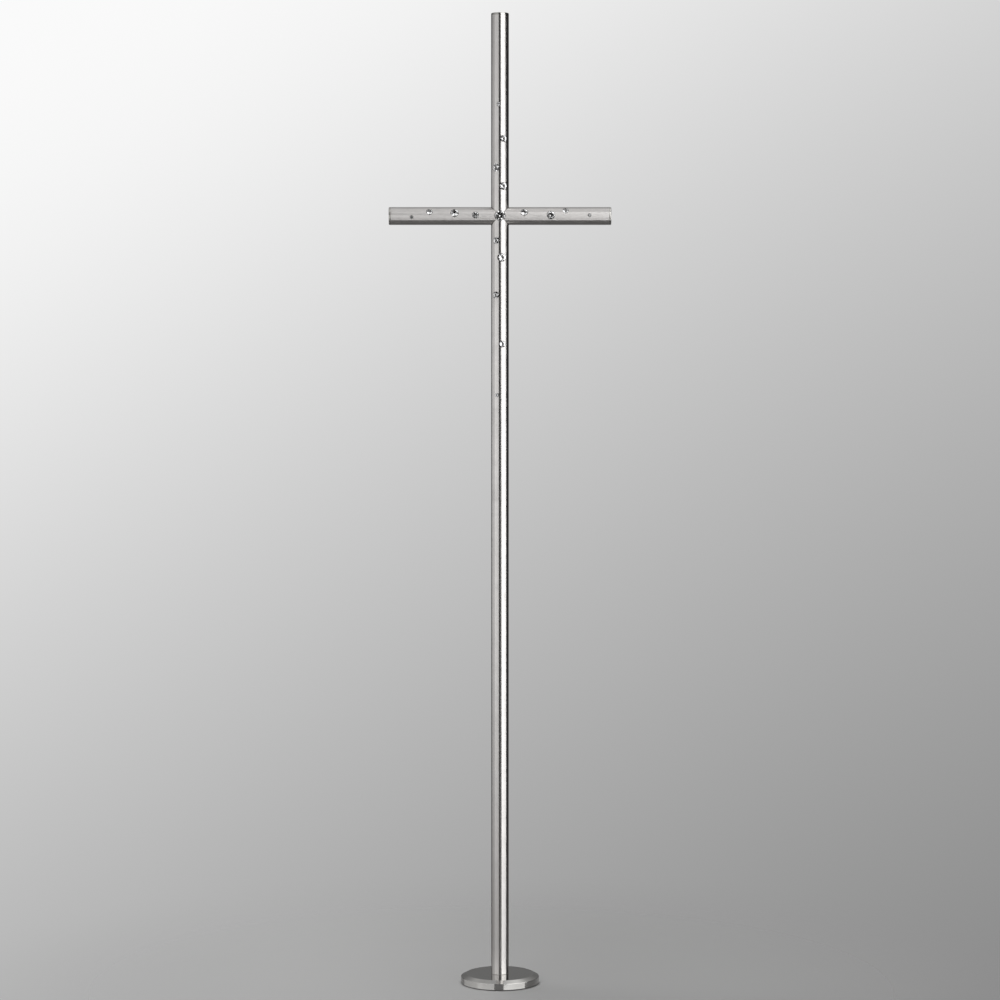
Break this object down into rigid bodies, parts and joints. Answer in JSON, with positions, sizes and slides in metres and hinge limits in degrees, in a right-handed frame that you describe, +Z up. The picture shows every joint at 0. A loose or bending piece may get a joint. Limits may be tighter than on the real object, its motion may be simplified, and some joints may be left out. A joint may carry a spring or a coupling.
{
  "type": "processional cross",
  "caption": "Tall round-tube steel cross with clear faceted stones sunk along its front, lifted by its pole off a spigot on a round foot.",
  "frame": {"origin": "on the floor at the middle of the foot", "axes": "+Z up along the pole, the stones face -Y, the arms lie along X"},
  "size_m": [0.502, 0.178, 2.2],
  "materials": {
    "satin_steel": "satin",
    "turned_steel": "satin",
    "polished_steel": "polished",
    "screw_steel": "satin",
    "crystal": "polished",
    "rubber": "matte",
    "washer_plastic": "matte"
  },
  "bodies": {
    "stand": {"foot_disc": "turned_steel", "anti_slip_ring": "rubber", "spigot": "turned_steel", "spigot_screw": "screw_steel", "o_ring_lower": "rubber", "o_ring_upper": "rubber"},
    "washer": {"slip_washer": "washer_plastic"},
    "cross": {"arm_tube_left": "satin_steel", "arm_tube_right": "satin_steel", "end_cap_left": "satin_steel", "end_cap_right": "satin_steel", "end_cap_top": "satin_steel", "pole_tube": "satin_steel", "setting_centre": "polished_steel", "setting_left_1": "polished_steel", "setting_left_2": "polished_steel", "setting_left_3": "polished_steel", "setting_left_4": "polished_steel", "setting_lower_1": "polished_steel", "setting_lower_2": "polished_steel", "setting_lower_3": "polished_steel", "setting_lower_4": "polished_steel", "setting_lower_5": "polished_steel", "setting_right_1": "polished_steel", "setting_right_2": "polished_steel", "setting_right_3": "polished_steel", "setting_right_4": "polished_steel", "setting_upper_1": "polished_steel", "setting_upper_2": "polished_steel", "setting_upper_3": "polished_steel", "setting_upper_4": "polished_steel", "stone_centre": "crystal", "stone_left_1": "crystal", "stone_left_2": "crystal", "stone_left_3": "crystal", "stone_left_4": "crystal", "stone_lower_1": "crystal", "stone_lower_2": "crystal", "stone_lower_3": "crystal", "stone_lower_4": "crystal", "stone_lower_5": "crystal", "stone_right_1": "crystal", "stone_right_2": "crystal", "stone_right_3": "crystal", "stone_right_4": "crystal", "stone_upper_1": "crystal", "stone_upper_2": "crystal", "stone_upper_3": "crystal", "stone_upper_4": "crystal"}
  },
  "joints": [
    {"name": "pole_turn", "type": "hinge", "parent": "stand", "child": "washer", "pos_m": [0, 0, 0.0215], "axis": [0, 0, 1], "continuous": true},
    {"name": "pole_lift", "type": "slide", "parent": "washer", "child": "cross", "axis": [0, 0, 1], "range_m": [0, 0.16]}
  ]
}
